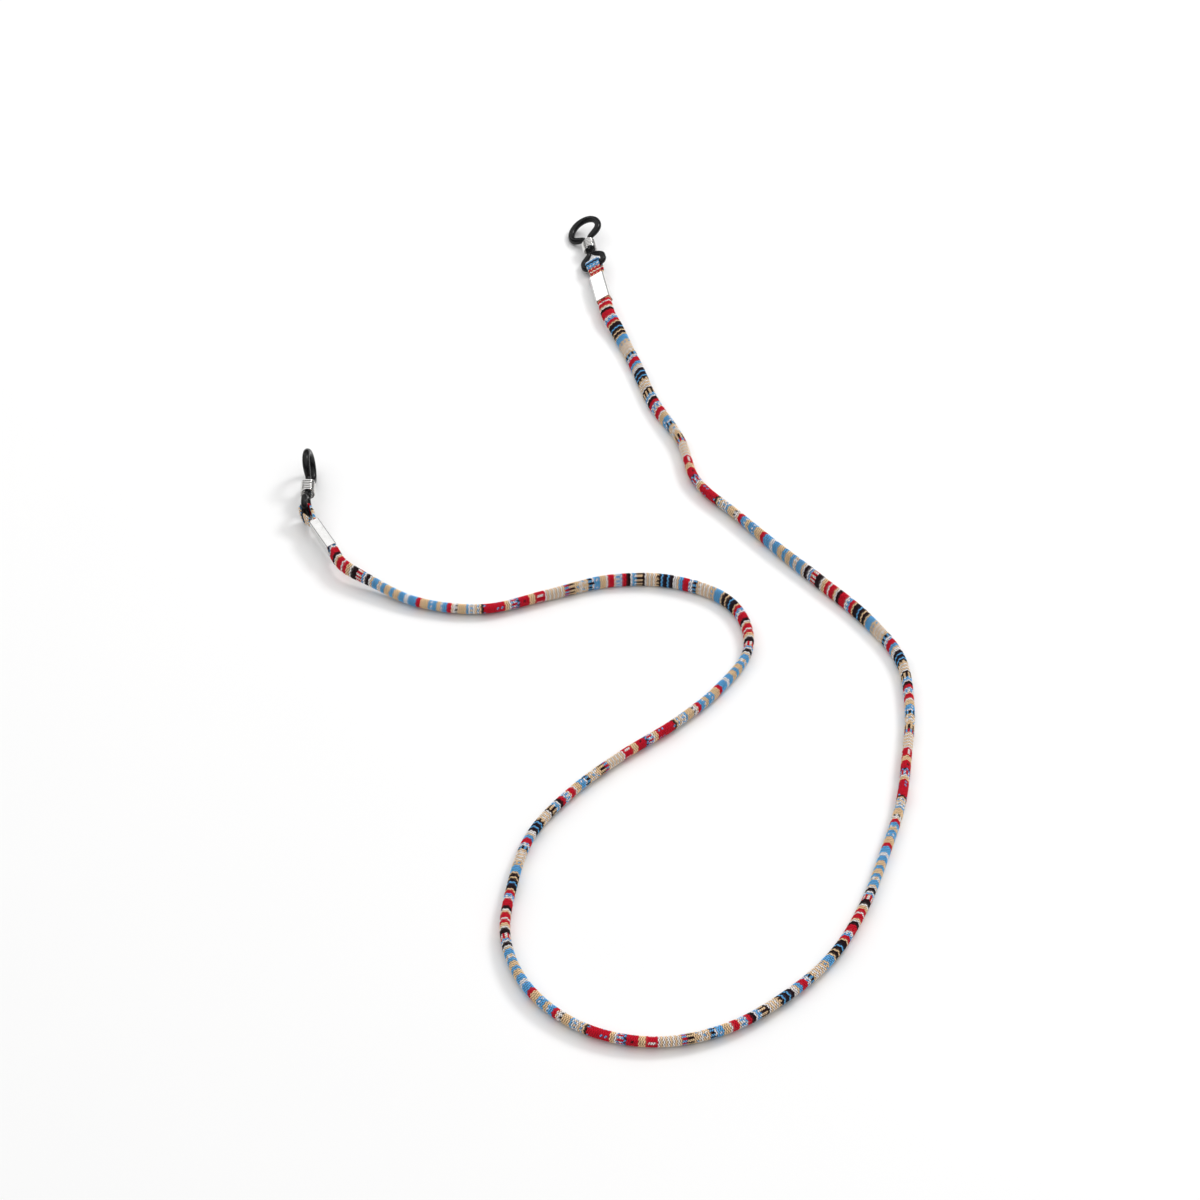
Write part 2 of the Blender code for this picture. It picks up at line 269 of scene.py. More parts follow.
class StudioSettings(PropertyGroup):
    """Camera, floor and light."""

    centre: FloatVectorProperty(
        name="Centre", description="Where the camera looks", default=(0.0431, -0.09715, 0.0),
        size=3, subtype="TRANSLATION",
    )
    elevation: FloatProperty(
        name="Elevation", description="Camera above the horizon",
        default=math.radians(43.5), subtype="ANGLE",
    )
    distance: length_property("Distance", "From the camera to what it looks at", 1.0294)
    lens: FloatProperty(name="Lens", description="Focal length in millimetres", default=105.0)
    floor_size: length_property("Floor size", "Side of the floor", 8.0)
    key_power: FloatProperty(name="Key power", description="Watts of the key light", default=5.5)
    low_power: FloatProperty(name="Low power", description="Watts of the low softbox", default=0.56)
    sky_strength: FloatProperty(name="Sky", description="Strength of the sky", default=1.24)
    horizon: FloatProperty(
        name="Horizon", description="Height up to which the sky is dark in reflections",
        default=math.radians(18.0), subtype="ANGLE",
    )
    sky_start: FloatProperty(
        name="Sky start", description="Height from which the sky is fully bright",
        default=math.radians(55.0), subtype="ANGLE",
    )


SETTINGS = {
    "strap_cord": CordSettings,
    "strap_yarns": YarnSettings,
    "strap_eyes": EyeSettings,
    "strap_crimps": CrimpSettings,
    "strap_loops": LoopSettings,
    "strap_coils": CoilSettings,
    "strap_studio": StudioSettings,
}


# --- Where things are -------------------------------------------------------------------------


def record_entry(entries, name):
    """The entry of that name in a list from the frame."""
    for entry in entries:
        if entry["name"] == name:
            return entry
    raise RuntimeError("the frame has no entry named " + name)


def frame_at(place, along, across):
    """A 4 by 4 array whose columns are X along, Y across, Z and the place."""
    matrix = np.eye(4)
    matrix[:3, 0] = np.asarray(along, float) / np.linalg.norm(along)
    matrix[:3, 1] = np.asarray(across, float) / np.linalg.norm(across)
    matrix[:3, 2] = np.cross(matrix[:3, 0], matrix[:3, 1])
    matrix[:3, 3] = place
    return matrix


def crimp_frame(side):
    """The frame of one end at its eye: X along the crimp to the loop, Z out of the wide face."""
    hinge = record_entry(frame["joints"], side + "_loop_swing")
    face = record_entry(frame["record"]["mounts"], side + "_crimp_face")
    return frame_at(hinge["pos_m"], np.cross(hinge["axis"], face["axis"]), hinge["axis"])


def loop_frame(side):
    """The frame of one rubber loop at the eye: X along the neck to the lobe."""
    hinge = record_entry(frame["joints"], side + "_loop_swing")
    slide = record_entry(frame["joints"], side + "_coil_slide")
    return frame_at(hinge["pos_m"], slide["axis"], hinge["axis"])


def placed(matrix, points):
    """The points moved into place by a frame."""
    return np.asarray(points, float) @ matrix[:3, :3].T + matrix[:3, 3]


# --- Lines and sections -----------------------------------------------------------------------


def unit(vectors):
    """The vectors at length one."""
    return vectors / np.linalg.norm(vectors, axis=-1, keepdims=True)


def runs_along(points):
    """The distance along a chain of points, at each of them."""
    steps = np.linalg.norm(np.diff(points, axis=0), axis=1)
    return np.concatenate([[0.0], np.cumsum(steps)])


def resampled(points, count):
    """Points at equal distances along a chain of points."""
    runs = runs_along(points)
    wanted = np.linspace(0.0, runs[-1], count)
    return np.stack([np.interp(wanted, runs, points[:, axis]) for axis in range(3)], axis=1)


def smooth_line(knots, steps=24):
    """A smooth curve through the knots, with the same number of steps between each two."""
    line = []
    for index in range(len(knots) - 1):
        before = knots[max(index - 1, 0)]
        start = knots[index]
        end = knots[index + 1]
        after = knots[min(index + 2, len(knots) - 1)]
        chord = np.linalg.norm(end - start)
        lead_in = unit(end - before) * chord
        lead_out = unit(after - start) * chord
        t = (np.arange(steps) / steps)[:, None]
        line.append(
            start * (2 * t**3 - 3 * t**2 + 1)
            + lead_in * (t**3 - 2 * t**2 + t)
            + end * (3 * t**2 - 2 * t**3)
            + lead_out * (t**3 - t**2)
        )
    return np.concatenate([*line, knots[-1:]])


class Course:
    """A line through space, with the directions and half sizes of an oval section along it."""

    def __init__(self, places, wide, half_wide, half_deep, squareness=2.0, closed=False):
        self.places = np.asarray(places, float)
        count = len(self.places)
        if closed:
            ahead = np.roll(self.places, -1, axis=0)
            behind = np.roll(self.places, 1, axis=0)
            self.along = unit(ahead - behind)
        else:
            self.along = unit(np.gradient(self.places, axis=0))
        wide = np.broadcast_to(np.asarray(wide, float), (count, 3))
        wide = wide - self.along * np.sum(wide * self.along, axis=1, keepdims=True)
        self.wide = unit(wide)
        self.deep = np.cross(self.along, self.wide)
        self.half_wide = np.broadcast_to(half_wide, (count,))
        self.half_deep = np.broadcast_to(half_deep, (count,))
        self.squareness = np.broadcast_to(squareness, (count,))
        self.closed = closed

    @staticmethod
    def section(angles, squareness):
        """The section's unit outline at the angles."""
        power = 2.0 / squareness
        x = np.sign(np.cos(angles)) * np.abs(np.cos(angles)) ** power
        y = np.sign(np.sin(angles)) * np.abs(np.sin(angles)) ** power
        return x, y

    def even_angles(self, count):
        """Angles that share out the section's edge equally."""
        fine = np.linspace(0.0, 2.0 * math.pi, 1441)
        x, y = self.section(fine, self.squareness.mean())
        outline = np.stack([x * self.half_wide.mean(), y * self.half_deep.mean()], axis=1)
        runs = runs_along(outline)
        return np.interp(np.arange(count) / count * runs[-1], runs, fine)

    def surface(self, stations, angles, shrink=0.0):
        """Places on the surface and the directions out of it."""
        squareness = self.squareness[stations]
        x, y = self.section(angles, squareness)
        half_wide = self.half_wide[stations] - shrink
        half_deep = self.half_deep[stations] - shrink
        across = x * half_wide
        through = y * half_deep
        wide = self.wide[stations]
        deep = self.deep[stations]
        places = self.places[stations] + wide * across[..., None] + deep * through[..., None]
        power = squareness - 1.0
        lean_wide = np.sign(x) * np.abs(x) ** power / half_wide
        lean_deep = np.sign(y) * np.abs(y) ** power / half_deep
        return places, unit(wide * lean_wide[..., None] + deep * lean_deep[..., None])


def sweep(name, course, sides, every=1, domed=0.0):
    """A closed mesh of the course's section, with flat or domed ends unless the course is closed."""
    stations = np.arange(0, len(course.places), every)
    angles = course.even_angles(sides)
    rings, _ = course.surface(stations[:, None], angles[None, :])
    rings = list(rings)
    ends = []
    if not course.closed:
        for end, sign in ((0, -1.0), (-1, 1.0)):
            middle = course.places[stations[end]]
            outward = course.along[stations[end]] * sign
            ring = rings[end]
            dome = []
            for step in (1, 2) if domed else ():
                angle = math.radians(30.0 * step)
                lift = outward * domed * math.sin(angle)
                dome.append(middle + (ring - middle) * math.cos(angle) + lift)
            ends.append((dome, middle + outward * domed))
        rings = list(reversed(ends[0][0])) + rings + ends[1][0]
    count = len(rings)
    points = np.concatenate(rings)
    faces = []
    last = count if course.closed else count - 1
    for ring in range(last):
        near = ring * sides
        far = (ring + 1) % count * sides
        for side in range(sides):
            beside = (side + 1) % sides
            faces.append((near + side, near + beside, far + beside, far + side))
    if not course.closed:
        points = np.concatenate([points, [ends[0][1], ends[1][1]]])
        first_tip, last_tip = count * sides, count * sides + 1
        last_ring = (count - 1) * sides
        for side in range(sides):
            beside = (side + 1) % sides
            faces.append((first_tip, beside, side))
            faces.append((last_tip, last_ring + side, last_ring + beside))
    return mesh_object(name, points, faces)


def mesh_object(name, points, faces, smooth=True):
    """A new object with the mesh, in the scene."""
    mesh = bpy.data.meshes.new(name)
    mesh.from_pydata([tuple(point) for point in points], [], faces)
    mesh.update()
    if smooth:
        mesh.shade_smooth()
    item = bpy.data.objects.new(name, mesh)
    bpy.context.scene.collection.objects.link(item)
    return item


def add_attribute(mesh, name, kind, values):
    """Store one value for each point of the mesh."""
    attribute = mesh.attributes.new(name, kind, "POINT")
    field = {"FLOAT": "value", "INT": "value", "FLOAT_VECTOR": "vector", "FLOAT_COLOR": "color"}
    attribute.data.foreach_set(field[kind], np.asarray(values).ravel())


def finish_piece(item, material, body):
    """Give a piece its material and the body it moves with."""
    if material is not None:
        item.data.materials.clear()
        item.data.materials.append(material)
    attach(item, body)
    return item


def add_node(tree, kind, inputs=None, **settings):
    """A node of a tree with its settings, and values or links for its inputs."""
    node = tree.nodes.new(kind)
    for key, value in settings.items():
        setattr(node, key, value)
    for key, value in (inputs or {}).items():
        if isinstance(value, bpy.types.NodeSocket):
            tree.links.new(value, node.inputs[key])
        else:
            node.inputs[key].default_value = value
    return node


# --- Materials --------------------------------------------------------------------------------


class Recipe:
    """A material's node tree, and short ways to add to it."""

    def __init__(self, name, colour, roughness, metallic=0.0):
        self.material = bpy.data.materials.new(name)
        self.material.use_nodes = True
        self.material.diffuse_color = (*colour, 1.0)
        self.tree = self.material.node_tree
        self.shader = self.tree.nodes["Principled BSDF"]
        self.shader.inputs["Base Color"].default_value = (*colour, 1.0)
        self.shader.inputs["Roughness"].default_value = roughness
        self.shader.inputs["Metallic"].default_value = metallic

    def add(self, kind, inputs=None, **settings):
        """A node of the material."""
        return add_node(self.tree, kind, inputs, **settings)

    def object_place(self):
        """Object coordinates."""
        return self.add("ShaderNodeTexCoord").outputs["Object"]

    def stored(self, name, output="Fac"):
        """A value stored on the mesh."""
        return self.add("ShaderNodeAttribute", attribute_name=name).outputs[output]

    def noise(self, place, scale, detail=3.0, roughness=0.5):
        """Noise about a place, from 0 to 1."""
        inputs = {"Vector": place, "Scale": scale, "Detail": detail, "Roughness": roughness}
        return self.add("ShaderNodeTexNoise", inputs).outputs["Fac"]

    def ranged(self, value, low, high, new_low, new_high):
        """A value carried from one range to another."""
        inputs = {
            "Value": value, "From Min": low, "From Max": high, "To Min": new_low, "To Max": new_high,
        }
        return self.add("ShaderNodeMapRange", inputs).outputs["Result"]

    def maths(self, operation, first, second):
        """A sum, product or the like of two values."""
        return self.add("ShaderNodeMath", {0: first, 1: second}, operation=operation).outputs[0]

    def tinted(self, colour, factor):
        """A colour made lighter or darker by a factor."""
        inputs = {0: colour, "Scale": factor}
        return self.add("ShaderNodeVectorMath", inputs, operation="SCALE").outputs["Vector"]

    def mixed(self, factor, first, second):
        """Two colours mixed, through the Mix node's colour sockets."""
        inputs = {0: factor, 6: first, 7: second}
        return self.add("ShaderNodeMix", inputs, data_type="RGBA").outputs[2]

    def bump(self, height, distance, strength=1.0):
        """Relief on the shader's normal."""
        inputs = {"Height": height, "Distance": distance, "Strength": strength}
        self.feed("Normal", self.add("ShaderNodeBump", inputs).outputs["Normal"])

    def feed(self, socket, value):
        """Link a value to one of the shader's inputs."""
        self.tree.links.new(value, self.shader.inputs[socket])


def yarn_material(name, colour):
    """Soft spun yarn: plies across each float with painted shade in their grooves, a little lint, and
    each float its own tone.
    """
    recipe = Recipe(name, colour, 0.78)
    recipe.shader.inputs["Sheen Weight"].default_value = 0.06
    recipe.shader.inputs["Sheen Roughness"].default_value = 0.4
    recipe.shader.inputs["Specular IOR Level"].default_value = 0.15
    tone = recipe.ranged(recipe.stored("tone"), 0.0, 1.0, 0.90, 1.12)
    plies = recipe.add(
        "ShaderNodeTexWave",
        {"Vector": recipe.stored("float_place", "Vector"), "Scale": 0.55, "Distortion": 1.2},
        bands_direction="DIAGONAL",
    ).outputs["Fac"]
    lint = recipe.noise(recipe.object_place(), 9000.0)
    # Painted shade: the base colour is darkened along the ply grooves
    painted_groove_shade = recipe.ranged(plies, 0.0, 1.0, 0.92, 1.04)
    speck = recipe.ranged(lint, 0.3, 0.7, 0.95, 1.06)
    factor = recipe.maths("MULTIPLY", tone, recipe.maths("MULTIPLY", painted_groove_shade, speck))
    recipe.feed("Base Color", recipe.tinted(tuple(colour), factor))
    recipe.feed("Roughness", recipe.ranged(lint, 0.3, 0.7, 0.70, 0.86))
    recipe.bump(recipe.maths("ADD", plies, lint), 0.04 * MM, 0.8)
    return recipe.material


def ground_material(name, colour):
    """The tight ground weave between the floats, tinted by the yarns next to it: its dark colour is
    partly the ground yarn's own and partly painted shade in the gaps.
    """
    recipe = Recipe(name, colour, 0.9)
    recipe.shader.inputs["Specular IOR Level"].default_value = 0.1
    rib = recipe.noise(recipe.object_place(), 3500.0, 2.0)
    shade = recipe.ranged(rib, 0.3, 0.7, 0.6, 1.2)
    recipe.feed("Base Color", recipe.tinted(recipe.stored("band", "Color"), shade))
    recipe.bump(rib, 0.06 * MM)
    return recipe.material


def filler_material(name, colour):
    """Loose spun filler yarn."""
    recipe = Recipe(name, colour, 0.92)
    recipe.shader.inputs["Sheen Weight"].default_value = 0.3
    lint = recipe.noise(recipe.object_place(), 4000.0)
    shade = recipe.ranged(lint, 0.3, 0.7, 0.75, 1.1)
    recipe.feed("Base Color", recipe.tinted(tuple(colour), shade))
    recipe.bump(lint, 0.08 * MM)
    return recipe.material


def rubber_material(name):
    """Moulded black rubber: satin, with a faint bloom and handling marks."""
    recipe = Recipe(name, (0.010, 0.010, 0.011), 0.28)
    recipe.shader.inputs["Specular IOR Level"].default_value = 0.24
    place = recipe.object_place()
    bloom = recipe.noise(place, 260.0, 4.0, 0.6)
    grain = recipe.noise(place, 4200.0, 2.0)
    colour = recipe.mixed(
        recipe.ranged(bloom, 0.45, 0.75, 0.0, 1.0),
        (0.004, 0.004, 0.005, 1.0),
        (0.010, 0.011, 0.011, 1.0),
    )
    recipe.feed("Base Color", colour)
    broad = recipe.ranged(bloom, 0.3, 0.7, 0.20, 0.32)
    small = recipe.ranged(grain, 0.3, 0.7, -0.03, 0.03)
    recipe.feed("Roughness", recipe.maths("ADD", broad, small))
    recipe.bump(grain, 0.012 * MM, 0.6)
    return recipe.material


def steel_material(name):
    """Polished sheet: bright, with fine lengthwise rubbing and faint smears."""
    recipe = Recipe(name, (0.86, 0.86, 0.85), 0.14, metallic=1.0)
    place = recipe.object_place()
    smear = recipe.noise(place, 420.0, 3.0, 0.55)
    fine = recipe.noise(place, 6500.0, 2.0)
    broad = recipe.ranged(smear, 0.35, 0.7, 0.07, 0.17)
    small = recipe.ranged(fine, 0.3, 0.7, 0.0, 0.04)
    recipe.feed("Roughness", recipe.maths("ADD", broad, small))
    tint = recipe.mixed(
        recipe.ranged(smear, 0.3, 0.7, 0.0, 1.0),
        (0.88, 0.88, 0.87, 1.0),
        (0.80, 0.79, 0.78, 1.0),
    )
    recipe.feed("Base Color", tint)
    recipe.bump(fine, 0.003 * MM, 0.4)
    return recipe.material


def wire_material(name):
    """Bright drawn wire, with faint draw marks."""
    recipe = Recipe(name, (0.84, 0.83, 0.81), 0.18, metallic=1.0)
    place = recipe.object_place()
    marks = recipe.noise(place, 3000.0, 3.0)
    recipe.feed("Roughness", recipe.ranged(marks, 0.3, 0.7, 0.12, 0.26))
    tint = recipe.mixed(marks, (0.86, 0.86, 0.85, 1.0), (0.74, 0.72, 0.70, 1.0))
    recipe.feed("Base Color", tint)
    recipe.bump(marks, 0.006 * MM, 0.5)
    return recipe.material


def floor_material(name):
    """Smooth white table top."""
    recipe = Recipe(name, (0.93, 0.93, 0.93), 0.6)
    recipe.shader.inputs["Specular IOR Level"].default_value = 0.2
    mottle = recipe.noise(recipe.object_place(), 14.0, 3.0)
    tint = recipe.mixed(mottle, (0.93, 0.93, 0.93, 1.0), (0.945, 0.943, 0.94, 1.0))
    recipe.feed("Base Color", tint)
    return recipe.material


def yarn_finishes():
    """The five yarns' materials, made once and shared by all woven pieces."""
    colours = bpy.context.scene.strap_yarns
    finishes = []
    for letter in YARN_ORDER:
        word, name = YARNS[letter]
        found = bpy.data.materials.get(name)
        finishes.append(found or yarn_material(name, getattr(colours, word)))
    return finishes


# --- Weaving ----------------------------------------------------------------------------------


def read_draft(text):
    """The yarns of each row, from the words of a draft."""
    rows = []
    for word in text.split():
        yarns = word.rstrip("0123456789")
        rows.extend([yarns] * int(word[len(yarns):]))
    return rows


def row_yarns(draft, rows, columns):
    """The yarn's place in YARN_ORDER for every row and column."""
    table = np.zeros((len(draft), columns), int)
    for row, yarns in enumerate(draft):
        for column in range(columns):
            table[row, column] = YARN_ORDER.index(yarns[column // 2 % len(yarns)])
    return table[rows % len(draft)]


def weave_ground(name, course, draft, first_row, sides=32):
    """The tube under the floats, with the colours of the rows stored on it: each yarn's colour mixed
    with the dark ground, partly painted shade in the gaps.
    """
    colours = bpy.context.scene.strap_yarns
    item = sweep(name, course, sides, every=2)
    stations = np.arange(0, len(course.places), 2)
    yarns = row_yarns(draft, stations // 2 + first_row, sides)
    palette = np.array([getattr(colours, YARNS[letter][0]) for letter in YARN_ORDER])
    share = np.array([YARN_SHOW_OVER_GAP_SHADE[letter] for letter in YARN_ORDER])[yarns][..., None]
    # Painted shade: mixing in the dark ground darkens each row where it shows between the floats
    band = share * palette[yarns] + (1.0 - share) * np.array(colours.ground)
    band = band.reshape(-1, 3)
    band = np.concatenate([band, band[:1], band[-1:]])
    band = np.concatenate([band, np.ones((len(band), 1))], axis=1)
    add_attribute(item.data, "band", "FLOAT_COLOR", band)
    return item


def float_seats(name, course, draft, first_row, columns, seed, keep=None):
    """A point for each yarn float, with the way it lies, the way it faces and its yarn."""
    spread = np.random.default_rng(seed)
    rows = (len(course.places) - 1) // 2
    row, column = np.meshgrid(np.arange(rows), np.arange(columns), indexing="ij")
    row = row.ravel()
    column = column.ravel()
    station = 2 * row + 1
    if keep is not None:
        kept = keep(station)
        row, column, station = row[kept], column[kept], station[kept]
    cord = bpy.context.scene.strap_cord
    angles = course.even_angles(columns)[column]
    places, facing = course.surface(station, angles, shrink=FLOAT_SINK)
    along = course.along[station]
    across = unit(np.cross(facing, along))
    offset = np.array(WAVE_OFFSETS)[column % 4] * cord.wave_height / 4.0
    offset = offset + UNEVEN_PLACE * spread.standard_normal(len(row))
    places = places + along * offset[:, None]
    slope = np.arctan2(cord.wave_height, 2.0 * cord.column_width)
    slant = np.array(WAVE_SLANTS)[column % 4] * slope
    slant = slant + UNEVEN_SLANT * spread.standard_normal(len(row))
    lie = across * np.cos(slant)[:, None] + along * np.sin(slant)[:, None]
    yarns = row_yarns(draft, row + first_row, columns)[np.arange(len(row)), column]
    seats = mesh_object(name, places, [], smooth=False)
    add_attribute(seats.data, "facing", "FLOAT_VECTOR", facing)
    add_attribute(seats.data, "lie", "FLOAT_VECTOR", lie)
    add_attribute(seats.data, "yarn", "INT", yarns)
    return seats


def float_shape():
    """One yarn float: a low pillow, one unit each way from its middle and closed underneath."""
    segments = 6
    points = []
    for reach, height in ((1.0, -0.35), (0.80, 0.58)):
        for step in range(segments):
            angle = 2.0 * math.pi * step / segments
            points.append((reach * math.cos(angle), reach * math.sin(angle), height))
    points.append((0.0, 0.0, 1.0))
    faces = [tuple(range(segments - 1, -1, -1))]
    for step in range(segments):
        beside = (step + 1) % segments
        faces.append((step, beside, segments + beside, segments + step))
        faces.append((segments + step, segments + beside, 2 * segments))
    item = mesh_object("float_shape", points, faces)
    add_attribute(item.data, "float_place", "FLOAT_VECTOR", points)
    return item


class TreeBuilder:
    """A Geometry Nodes tree, with named inputs and one geometry output."""

    def __init__(self, name):
        self.tree = bpy.data.node_groups.new(name, "GeometryNodeTree")
        self.tree.interface.new_socket("Geometry", in_out="OUTPUT", socket_type="NodeSocketGeometry")
        self.identifiers = {}
        self.start = None

    def named_input(self, name, kind):
        """Add an input and keep the identifier that a modifier sets it by."""
        socket = self.tree.interface.new_socket(name, in_out="INPUT", socket_type=kind)
        self.identifiers[name] = socket.identifier

    def value(self, name):
        """The socket that carries a named input."""
        if self.start is None:
            self.start = self.tree.nodes.new("NodeGroupInput")
        return self.start.outputs[name]

    def add(self, kind, inputs, **settings):
        """A node of the tree."""
        return add_node(self.tree, kind, inputs, **settings)

    def stored(self, name, kind):
        """A value stored on the points."""
        inputs = {"Name": name}
        node = self.add("GeometryNodeInputNamedAttribute", inputs, data_type=kind)
        return node.outputs["Attribute"]

    def end(self, geometry):
        """Link the result to the output."""
        last = self.tree.nodes.new("NodeGroupOutput")
        self.tree.links.new(geometry, last.inputs[0])


# The inputs of the tree that places the yarn floats
FLOAT_INPUTS = (
    ("Seats", "Geometry"),
    ("Float", "Object"),
    ("Yarn", "Int"),
    ("Half Length", "Float"),
    ("Half Width", "Float"),
    ("Height", "Float"),
    ("Variation", "Float"),
    ("Seed", "Int"),
    ("Material", "Material"),
)


def floats_tree():
    """Places a float on each seat of one yarn, and makes them real."""
    build = TreeBuilder("yarn_floats")
    for name, kind in FLOAT_INPUTS:
        build.named_input(name, "NodeSocket" + kind)
    yarn = build.stored("yarn", "INT")
    facing = build.stored("facing", "FLOAT_VECTOR")
    lie = build.stored("lie", "FLOAT_VECTOR")
    wanted = build.add(
        "FunctionNodeCompare", {"A": yarn, "B": build.value("Yarn")},
        data_type="INT", operation="EQUAL",
    ).outputs["Result"]
    turn = build.add(
        "FunctionNodeAxesToRotation", {"Primary Axis": facing, "Secondary Axis": lie},
        primary_axis="Z", secondary_axis="X",
    ).outputs["Rotation"]
    limits = {0: 1.0, 1: build.value("Variation")}
    least = build.add("ShaderNodeMath", limits, operation="SUBTRACT")
    most = build.add("ShaderNodeMath", limits, operation="ADD")
    spread = build.add(
        "FunctionNodeRandomValue",
        {"Min": least.outputs[0], "Max": most.outputs[0], "Seed": build.value("Seed")},
        data_type="FLOAT",
    ).outputs["Value"]
    sizes = build.add("ShaderNodeCombineXYZ", {
        "X": build.value("Half Length"), "Y": build.value("Half Width"), "Z": build.value("Height"),
    }).outputs["Vector"]
    scale = build.add(
        "ShaderNodeVectorMath", {0: sizes, "Scale": spread}, operation="SCALE",
    ).outputs["Vector"]
    shape = build.add("GeometryNodeObjectInfo", {"Object": build.value("Float")})
    placed_floats = build.add("GeometryNodeInstanceOnPoints", {
        "Points": build.value("Seats"), "Selection": wanted,
        "Instance": shape.outputs["Geometry"], "Rotation": turn, "Scale": scale,
    }).outputs["Instances"]
    tone = build.add(
        "FunctionNodeRandomValue", {"Seed": build.value("Seed")}, data_type="FLOAT",
    ).outputs["Value"]
    toned = build.add(
        "GeometryNodeStoreNamedAttribute",
        {"Geometry": placed_floats, "Name": "tone", "Value": tone},
        data_type="FLOAT", domain="INSTANCE",
    ).outputs["Geometry"]
    real = build.add("GeometryNodeRealizeInstances", {"Geometry": toned}).outputs["Geometry"]
    finished = build.add(
        "GeometryNodeSetMaterial", {"Geometry": real, "Material": build.value("Material")},
    ).outputs["Geometry"]
    build.end(finished)
    return build


def run_tree(name, build, source, values):
    """A plain mesh object made by the tree from the source's points."""
    holder = bpy.data.objects.new(name, source.data.copy())
    modifier = holder.modifiers.new("make", "NODES")
    modifier.node_group = build.tree
    for key, value in values.items():
        modifier[build.identifiers[key]] = value
    bpy.context.scene.collection.objects.link(holder)
    depsgraph = bpy.context.evaluated_depsgraph_get()
    made = bpy.data.meshes.new_from_object(
        holder.evaluated_get(depsgraph), preserve_all_data_layers=True, depsgraph=depsgraph,
    )
    bpy.data.objects.remove(holder, do_unlink=True)
    made.name = name
    made.shade_smooth()
    item = bpy.data.objects.new(name, made)
    bpy.context.scene.collection.objects.link(item)
    return item


def weave_floats(prefix, seats, seed):
    """One piece of floats for each yarn."""
    cord = bpy.context.scene.strap_cord
    build = floats_tree()
    shape = float_shape()
    pieces = []
    for index, finish in enumerate(yarn_finishes()):
        values = {
            "Float": shape,
            "Yarn": index,
            "Half Length": cord.float_length,
            "Half Width": cord.float_width,
            "Height": cord.float_height,
            "Variation": UNEVEN_SIZE,
            "Seed": seed + index,
            "Material": finish,
        }
        name = prefix + "_" + YARNS[YARN_ORDER[index]][0] + "_floats"
        pieces.append(run_tree(name, build, seats, values))
    bpy.data.objects.remove(shape, do_unlink=True)
    bpy.data.objects.remove(seats, do_unlink=True)
    bpy.data.node_groups.remove(build.tree)
    return pieces


def join_pieces(name, pieces):
    """One object from several, keeping their materials."""
    for item in bpy.context.selected_objects:
        item.select_set(False)
    for item in pieces:
        item.select_set(True)
    bpy.context.view_layer.objects.active = pieces[0]
    bpy.ops.object.join()
    joined = bpy.context.view_layer.objects.active
    joined.name = name
    joined.data.name = name
    joined.select_set(False)
    return joined


# --- The cord ---------------------------------------------------------------------------------


def eased(value, low, high):
    """A smooth step from 0 at low to 1 at high."""
    share = np.clip((value - low) / (high - low), 0.0, 1.0)
    return share * share * (3.0 - 2.0 * share)


def cord_course():
    """The cord's line, lean and section from inside the right crimp to inside the left one."""
    cord = bpy.context.scene.strap_cord
    crimps = bpy.context.scene.strap_crimps
    straight = 7.3 * MM
    fine_steps = 8001
    knots = []
    for side in SIDES:
        at = crimp_frame(side)
        mouth = placed(at, [[-crimps.reach - crimps.length, 0.0, 0.0]])[0]
        outward = -at[:3, 0]
        exit_knots = [mouth - outward * cord.tuck, mouth + outward * straight]
        if side == "right":
            knots.extend(exit_knots)
            knots.extend(np.array(ROUTE))
        else:
            knots.extend(reversed(exit_knots))
    line = smooth_line(np.array(knots))
    length = runs_along(line)[-1]
    fine = resampled(line, fine_steps)
    runs = np.linspace(0.0, length, len(fine))
    stops, factors = zip(*STRETCH)
    rows_run = np.cumsum(1.0 / (cord.row_pitch * np.interp(runs, stops, factors))) * runs[1]
    rows = int(round(rows_run[-1]))
    run = np.interp(np.linspace(rows_run[0], rows_run[-1], 2 * rows + 1), rows_run, runs)
    places = np.stack([np.interp(run, runs, fine[:, axis]) for axis in range(3)], axis=1)
    lean = leaning(run)
    high = cord.half_width + cord.float_height
    low = cord.half_depth + cord.float_height
    resting = np.hypot(high * np.sin(lean), low * np.cos(lean))
    down_right = eased(run, 8.0 * MM, 36.0 * MM)
    down_left = eased(length - run, 8.0 * MM, 42.0 * MM)
    settled = down_right * down_left
    places[:, 2] = places[:, 2] * (1.0 - settled) + resting * settled
    along = unit(np.gradient(places, axis=0))
    level = unit(np.stack([-along[:, 1], along[:, 0], np.zeros(len(along))], axis=1))
    upward = np.cross(along, level)
    wide = level * np.cos(lean)[:, None] + upward * np.sin(lean)[:, None]
    opened = 6.0 * MM
    free = eased(run, cord.tuck, opened) * eased(length - run, cord.tuck, opened)
    half_wide = cord.clamped_width + (cord.half_width - cord.clamped_width) * free
    half_deep = cord.clamped_depth + (cord.half_depth - cord.clamped_depth) * free
    squareness = CLAMPED_SQUARENESS + (FREE_SQUARENESS - CLAMPED_SQUARENESS) * free
    return Course(places, wide, half_wide, half_deep, squareness), length


def leaning(run):
    """The lean of the cord's wide side at the distances along it, in radians."""
    stops = np.array([stop for stop, _ in LEAN])
    angles = np.radians([angle for _, angle in LEAN])
    reach = 6.0 * MM
    offsets = np.linspace(-reach, reach, 9)
    return np.mean([np.interp(run + offset, stops, angles) for offset in offsets], axis=0)


